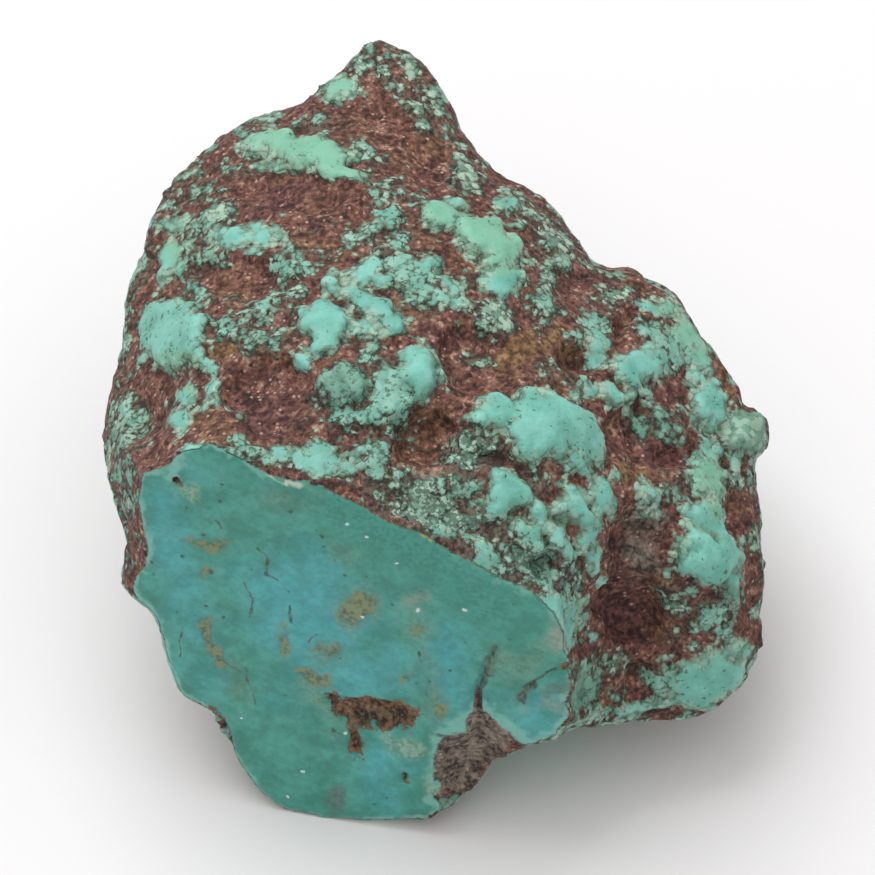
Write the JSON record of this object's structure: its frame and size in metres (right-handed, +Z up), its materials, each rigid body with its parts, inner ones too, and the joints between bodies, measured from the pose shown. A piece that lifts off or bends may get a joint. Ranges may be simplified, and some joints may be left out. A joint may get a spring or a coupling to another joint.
{
  "type": "raw turquoise nugget",
  "caption": "Raw turquoise nugget: a lumpy blue-green stone in brown matrix, sawn flat on one side, standing on a small flat face.",
  "frame": {"origin": "on the table under the middle of the stone's box, in the plane of the flat that it stands on", "axes": "+Z up from the table, -Y towards the side with the sawn face, +X to the right when facing the sawn face"},
  "size_m": [0.0532, 0.0578, 0.0386],
  "materials": {
    "turquoise_in_matrix": "satin lumps, rough granular matrix, smooth sawn face"
  },
  "bodies": {
    "root": {"nugget": "turquoise_in_matrix"}
  },
  "joints": []
}
